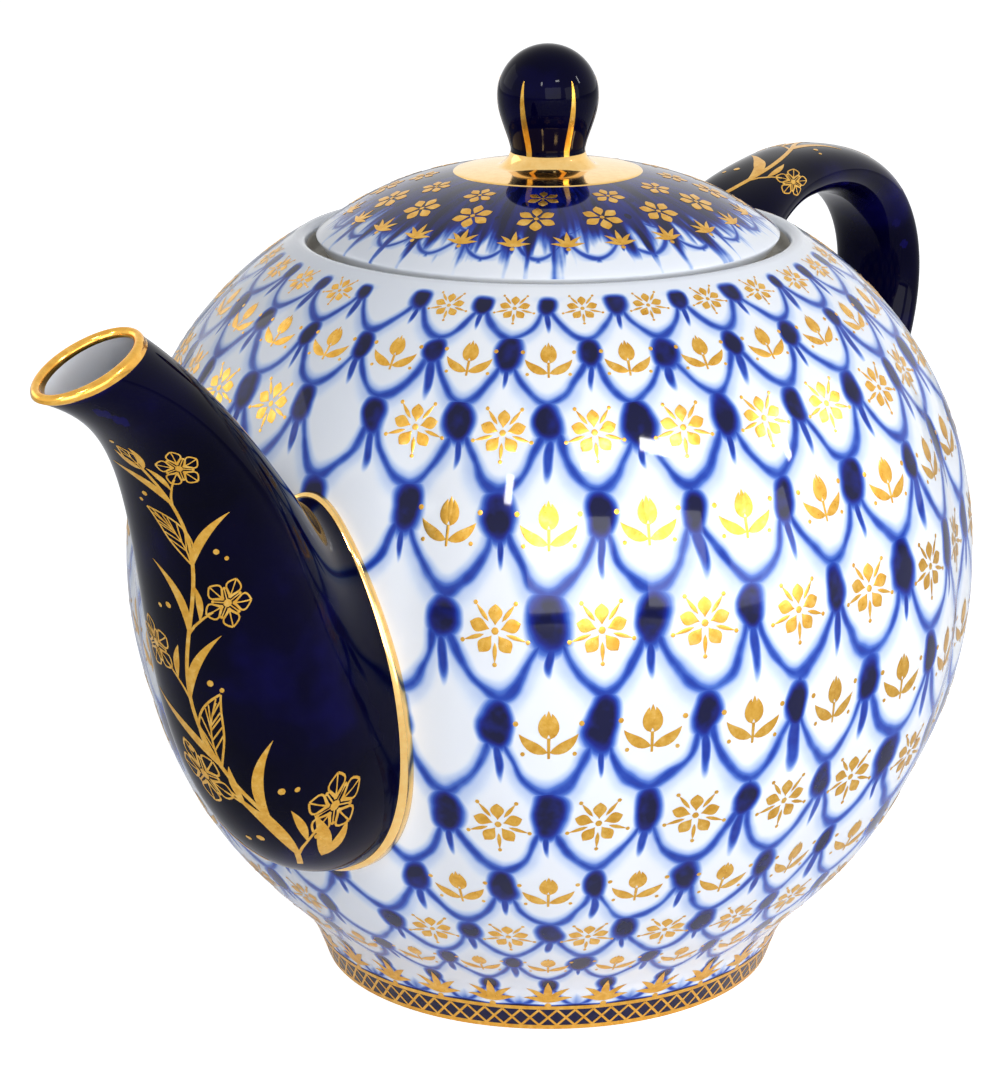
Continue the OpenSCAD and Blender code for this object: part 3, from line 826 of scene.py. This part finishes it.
class Gold:
    """Collects leaves laid on surfaces, then makes one piece of them."""

    def __init__(self):
        self.parts = []

    def lay(self, surface, a, b, shapes, size=1.0, turn=0.0):
        """Lays shapes round the point (a, b) of a surface: their x runs along b and their y along a."""
        across, upward, to_ab = lie(surface, a, b)
        cos, sin = polar(1.0, turn)
        for spine, half in shapes:
            strip = three(spine, sideways(spine) * half[:, None]) * size
            x, y = strip[..., :1], strip[..., 1:]
            ab = ((cos * x - sin * y) * across + (sin * x + cos * y) * upward) @ to_ab
            self.put(surface, a + ab[..., 0], b + ab[..., 1])

    def put(self, surface, a, b, lift=LEAF_LIFT, swell=LEAF_SWELL):
        """Lays a strip, whose three lines are given as a and b of the surface."""
        here = surface(a, b)
        out = np.cross(surface(a, b + STEP) - here, surface(a + STEP, b) - here)
        out /= np.linalg.norm(out, axis=-1, keepdims=True) + 1e-12
        self.parts.append(loft(here + out * (lift + np.array([[0], [swell], [0]])), closed=False)[:2])

    def fire(self, name, body):
        """Makes one piece of all that was laid."""
        make(name, *join(self.parts), body, "gilding", [gold_line])


def lid_surface(inwards, a):
    """Top of the lid, so many mm in from its edge."""
    return point(LID_R - inwards, a, dome_z(LID_R - inwards))


def mirrored(shapes):
    """The shapes and their mirror images about the y axis."""
    return shapes + [(spine * (-1, 1), half) for spine, half in shapes]


bud = mirrored([leaf(0.25, -0.4, 66, 3.3, 1.25, 42, 10)]) + [leaf(0, 0.1, 90, 3.1, 0.95, 0, 10)]
sprig = bud + [stroke([(0, -0.3), (0, -1.2), (0, -2.1), (0, -3.0)], 0.42, 0.32)]
sprig += mirrored([leaf(0.1, -2.2, 12, 4.3, 1.35, 46, 10), dot(3.9, 1.5, 0.34), dot(3.1, -2.4, 0.28)])
blossom = [leaf(*polar(0.7, k), k, 2.5, 1.7, 0, 10, 1.3) for k in range(90, 450, 72)] + [dot(0, 0, 0.45)]
blossom += [leaf(*polar(1.4, k), k, 2.5, 0.50, 0, 6) for k in range(54, 414, 72)]
blossom += [dot(*polar(4.1, k), 0.28) for k in range(54, 414, 72)]
floret = [leaf(*polar(0.6, k), k, 3.0, 1.9, 0, 10, 1.3) for k in range(90, 450, 60)] + [dot(0, 0, 0.45)]
tuft = [leaf(0, 0, 90, 3.9, 0.95)] + mirrored([leaf(0, 0, 62, 3.6, 0.8, -30), leaf(0, 0, 34, 3.0, 0.7, -34)])
tuft += [dot(0, -0.5, 0.4)]
berries = [dot(2.6, -3.6, 0.46), dot(1.4, -5.0, 0.34)]


def root_half_width(z):
    """Half the width of the spout's root at height z; below 0 where the root doesn't reach."""
    c = np.clip((z - ROOT_Z + 1) / (ROOT_L / 2 + SEAM_W), -1.2, 1.2)
    width = ROOT_W / 2 * (1 - SPOUT_EGG * c - SPOUT_PINCH * ((1 + c) / 2) ** 3) + 0.5 * SEAM_W
    return float(np.where(abs(c) < 1, np.sqrt(np.clip(1 - c * c, 0, None)) * width, -20 * (abs(c) - 1)))


def gold_sprigs_on_pot():
    """One blossom or one sprig in every scale, except under the roots of the spout and the handle."""
    gold = Gold()
    for row in range(2, ROWS + 1):
        z = z_of_row(row - 0.36)
        r = float(crest_r(z))
        size = 1.06 * (r / BELLY_R) ** 0.8 * (0.86 if row == ROWS else 1)
        for i in range(REPEATS):
            a = (i + 0.5 - 0.5 * (row % 2)) / REPEATS * TAU
            under_spout = abs(a - math.pi) * r < root_half_width(z) + 4.8
            beside_handle = z > 86 or 18 < z < 46
            under_handle = beside_handle and abs((a + math.pi) % TAU - math.pi) * r < 12
            if not under_spout and not under_handle:
                gold.lay(pot_point, z, a, blossom if row % 2 else sprig, size)
    gold.fire("gold_sprigs_on_pot", "pot")


def gold_foot_border():
    """Lattice between two lines round the foot, with tufts standing on it."""
    gold = Gold()
    count, low, high, half = 84, 1.0, 3.7, 0.17
    t = np.linspace(0, 1, 9)
    for i in range(count):
        for lean in (1, -1):
            rise, run = high - low, lean / count * TAU * FOOT_R
            k = half / math.hypot(rise, run)
            gold.put(pot_point, three(mix(low, high, t), run * k),
                     three((i + lean * t) / count * TAU, -rise * k / FOOT_R), 0.03, 0.02)
    a = np.linspace(0, TAU, 241)
    for z, half in ((0.66, 0.36), (4.1, 0.30)):
        gold.put(pot_point, three(np.full(len(a), z), -half)[::-1], three(a, 0)[::-1], LEAF_LIFT, 0.02)
    for i in range(REPEATS):
        gold.lay(pot_point, 5.1, (i + 0.5) / REPEATS * TAU, tuft, 1.15)
    gold.fire("gold_foot_border", "pot")


def gold_sprigs_on_lid():
    """Tufts in the scales along the edge, and two rings of florets on the dark crown."""
    gold = Gold()
    for i in range(LID_REPEATS):
        gold.lay(lid_surface, 4.3, (i + 0.5) / LID_REPEATS * TAU, tuft, 0.80)
    for ring_r, count, size, start in ((22.2, 16, 0.76, 0.25), (17.0, 12, 0.62, 0.0)):
        for i in range(count):
            gold.lay(lid_surface, LID_R - ring_r, (i + start) / count * TAU, floret, size)
    gold.fire("gold_sprigs_on_lid", "lid")


def open_flower(x, y, turn, r):
    """A round flower seen from above: five drawn petals, stamens and an eye."""
    shapes = []
    for k in range(5):
        deg = turn + 72 * k
        dx, dy = polar(0.22 * r, deg)
        shapes += drawn(leaf(x + dx, y + dy, deg, 0.8 * r, 0.66 * r, 0, 9, 1.35), 0.26, 2)
        dx, dy = polar(0.62 * r, deg + 36)
        shapes += [stroke([(x, y), (x + dx, y + dy)], 0.18), dot(x + dx, y + dy, 0.24)]
    return shapes + [dot(x, y, 0.17 * r)]


def garland(gold, surface, path, stem_w, size, count):
    """A winding stem with flowers, leaves and berries, along path(k), k from 0 to 1, which gives a and b of
    the surface."""
    k = np.linspace(0, 1, 120)
    a, b = path(k)
    along = np.gradient(surface(a, b), axis=0)
    across, upward, to_ab = lie(surface, a, b)
    side = unit(np.cross(along, np.cross(across, upward)))
    half = stem_w / 2 * (1.15 - 0.5 * k)
    ab = side[:, None] * half[:, None, None] * [[-1], [0], [1]] @ to_ab
    gold.put(surface, a[:, None] + ab[..., 0], b[:, None] + ab[..., 1])
    heading = np.degrees(np.arctan2((along * upward).sum(1), (along * across).sum(1)))
    for i in range(count):
        share = (i + 0.35) / count
        at = int(share * (len(k) - 1))
        sign = 1 if i % 2 else -1
        shapes = [leaf(0, 0, -6 * sign, 11.5, 1.35, -66 * sign, 16, 0.8)]
        if i % 3 == 2:
            shapes += drawn(leaf(0.4, 0.2 * sign, 8 * sign, 10.4, 3.4, 60 * sign, 16, 0.9), 0.30, 5)
        else:
            shapes += [stroke([(0, 0), (1.6, 0.7 * sign), (3.2, 1.9 * sign), (4.4, 3.2 * sign)], 0.40, 0.30)]
            shapes += open_flower(5.8, 5.2 * sign, 20 * sign, 3.5)
            shapes += [leaf(2.6, 1.4 * sign, 2 * sign, 5.2, 1.0, -30 * sign, 10, 1.0)]
        shapes += [(spine * (1, sign), half) for spine, half in berries]
        gold.lay(surface, a[at], b[at], shapes, size * (1.12 - 0.42 * share), heading[at])
    end = drawn(leaf(0, 0, 0, 5.6, 2.4, 0, 12), 0.28, 3)
    end += [leaf(0, 0.2, 34, 5.0, 1.1, -34), leaf(0, -0.2, -34, 5.0, 1.1, 34), dot(6.6, 0, 0.4)]
    gold.lay(surface, a[-1], b[-1], end, 0.75 * size, heading[-1])


def up_the_spout(k):
    return mix(0.17, 0.82, k), math.pi + 0.12 + 0.26 * np.sin(TAU * 1.4 * k + 0.5) * (1 - 0.2 * k)


def down_the_handle(k):
    return mix(0.07, 0.50, k), math.pi + 0.26 * np.sin(TAU * 1.3 * k)


def gold_garlands():
    gold = Gold()
    garland(gold, spout_point, up_the_spout, 0.66, 1.12, 7)
    for sign in (1, -1):
        spread = [leaf(0, 0, 90 - 62 * sign, 9.0, 2.0, 46 * sign, 10),
                  leaf(0, 0, 90 - 96 * sign, 7.0, 1.6, 34 * sign, 10), dot(3.0 * sign, 3.6, 0.5)]
        gold.lay(spout_point, 0.17, math.pi + 0.2 + 0.26 * sign, spread)
    garland(gold, handle_point, down_the_handle, 0.7, 1.10, 4)
    gold.fire("gold_garlands", "pot")


shank_r, shank_h = np.array(knob_profile()[4:-6]).T


def knob_surface(h, a):
    return point(np.interp(h, shank_h, shank_r), a, h)


def gold_stripes_on_knob():
    """Six tapering stripes from the neck up."""
    gold = Gold()
    h = np.linspace(DOME_TOP + 1.95, DOME_TOP + 12.4, 26)
    k = (h - h[0]) / (h[-1] - h[0])
    half = 0.03 + 0.52 * np.clip(1 - k, 0, 1) ** 0.45 * (0.72 + 0.28 * np.sin(math.pi * k))
    for i in range(6):
        a = math.radians(2 + 60 * i)
        gold.put(knob_surface, three(h, 0), three(a, -half / np.interp(h, shank_h, shank_r)), 0.04)
    gold.fire("gold_stripes_on_knob", "lid")


gold_sprigs_on_pot()
gold_foot_border()
gold_sprigs_on_lid()
gold_garlands()
gold_stripes_on_knob()


# ---- floor, light and camera
def paper_floor(name):
    """Plain pale paper that keeps the pot's shadow and burns out to the white of the backdrop."""
    m = material(name)
    paper = node(m, "BsdfDiffuse", {"Color": linear("#F4F4F4")})
    straight = node(m, "LightPath", out="Is Camera Ray")
    burnt_out = node(m, "Math", (straight, 0.62, 0.28), "MULTIPLY_ADD")
    glow = node(m, "Emission", {"Color": (1, 1, 1, 1), "Strength": burnt_out})
    seen = node(m, "AddShader", (paper, glow))
    mirrored_ray = node(m, "LightPath", out="Is Glossy Ray")
    through = node(m, "LightPath", out="Is Transmission Ray")
    either = node(m, "Math", (straight, mirrored_ray), "MAXIMUM")
    either = node(m, "Math", (either, through), "MAXIMUM")
    both = node(m, "MixShader", (either, paper, seen))
    node(m, "OutputMaterial", {"Surface": both})
    return m


FLOOR_HALF, FLOOR_DROP = 3000, 0.3  # half the width of the paper, and how far it lies under the foot
corners = [(x * FLOOR_HALF, y * FLOOR_HALF, 0) for x, y in ((-1, -1), (1, -1), (1, 1), (-1, 1))]
floor = blank("floor", corners, [(0, 1, 2, 3)])
floor.data.materials.append(paper_floor("matt white paper floor"))
floor.location.z = -FLOOR_DROP * MM

# a white tent round the pot: white to the eye, dimmer towards the ceiling as light and in the gloss
scene = bpy.context.scene
scene.view_settings.view_transform = "Standard"
world = bpy.data.worlds.new("studio")
scene.world = world
world.use_nodes = True
world.node_tree.nodes.clear()
camera_ray = node(world, "LightPath", out="Is Camera Ray")
mirror_ray = node(world, "LightPath", out="Is Glossy Ray")
clear_ray = node(world, "LightPath", out="Is Transmission Ray")
white = node(world, "Math", (camera_ray, clear_ray), "MAXIMUM")
bearing = node(world, "TexCoord", out=0)
height = node(world, "SeparateXYZ", (bearing,), out=2)
ceiling = node(world, "MapRange", (height, 0.3, 0.8, 1.12, 0.90))
dim = node(world, "MapRange", (height, 0.0, 0.9, 1.15, 0.22))
soft = node(world, "VectorMath", {0: (0.325, 0.35, 0.40), 3: dim}, "SCALE")
tent = node(world, "Mix", {0: mirror_ray, 6: soft, 7: ceiling}, data_type="RGBA", out=2)
tent = node(world, "Mix", {0: white, 6: tent, 7: (1, 1, 1, 1)}, data_type="RGBA", out=2)
backdrop = node(world, "Background", (tent, 1.0))
node(world, "OutputWorld", (backdrop,))

LIT_HEIGHT, AIM_HEIGHT = 60, 50  # heights on the pot's axis that the lights and the camera look at


def towards(bearing, rise):
    """Unit vector at a bearing from +X and an angle above the horizontal, in radians."""
    return Vector((math.cos(rise) * math.cos(bearing), math.cos(rise) * math.sin(bearing), math.sin(rise)))


def softbox(name, bearing, rise, away, wide, tall, watts):
    """A soft rectangular light at a bearing and a rise in degrees, so many metres from the pot."""
    box = bpy.data.lights.new(name, "AREA")
    box.shape, box.size, box.size_y, box.energy = "RECTANGLE", wide, tall, watts
    stand = bpy.data.objects.new(name, box)
    aim = Vector((0, 0, LIT_HEIGHT * MM))
    stand.location = aim + away * towards(math.radians(bearing), math.radians(rise))
    stand.rotation_euler = (aim - stand.location).to_track_quat("-Z", "Y").to_euler()
    scene.collection.objects.link(stand)


softbox("key", 224, 13, 1.1, 0.70, 0.50, 4.7)
softbox("fill", 270, 9, 1.3, 0.80, 0.60, 5.0)
softbox("back", 100, 22, 1.3, 0.90, 0.60, 1.6)
softbox("window left", 196, 34, 0.9, 0.05, 0.13, 1.0)
softbox("window front", 238, 40, 0.9, 0.12, 0.06, 1.2)
softbox("window right", 296, 30, 0.9, 0.04, 0.20, 1.2)

# camera: degrees from the spout's side, degrees up, mm away, lens and place of the aim in pixels, and lean
BEARING, RISE, AWAY, LENS_PX, AIM_X, AIM_Y, LEAN = 32.0, 17.9, 450.0, 3150.0, 547.3, 612.6, -0.22
IMAGE_W, IMAGE_H, SENSOR = 1000, 1069, 36.0
lens = bpy.data.cameras.new("camera")
camera = bpy.data.objects.new("camera", lens)
scene.collection.objects.link(camera)
scene.camera = camera
aim = Vector((0, 0, AIM_HEIGHT))
eye = aim - towards(math.radians(BEARING), -math.radians(RISE)) * AWAY
to_aim = (aim - eye).normalized()
yaw, pitch = math.atan2(to_aim.y, to_aim.x), math.asin(to_aim.z)
aim_right, aim_up = (AIM_X - IMAGE_W / 2) / LENS_PX, (IMAGE_H / 2 - AIM_Y) / LENS_PX
for _ in range(40):  # turn the camera until the aim falls on its place in the image
    ahead = towards(yaw, pitch)
    right = Vector((math.sin(yaw), -math.cos(yaw), 0))
    up = right.cross(ahead)
    yaw -= (to_aim.dot(right) / to_aim.dot(ahead) - aim_right) / math.cos(pitch)
    pitch += to_aim.dot(up) / to_aim.dot(ahead) - aim_up
turned = Matrix((right, up, -ahead)).transposed().to_4x4()
camera.matrix_world = Matrix.Translation(eye * MM) @ turned @ Matrix.Rotation(math.radians(LEAN), 4, "Z")
lens.sensor_width = SENSOR
lens.lens = LENS_PX / IMAGE_H * SENSOR
lens.clip_start, lens.clip_end = 0.01, 20
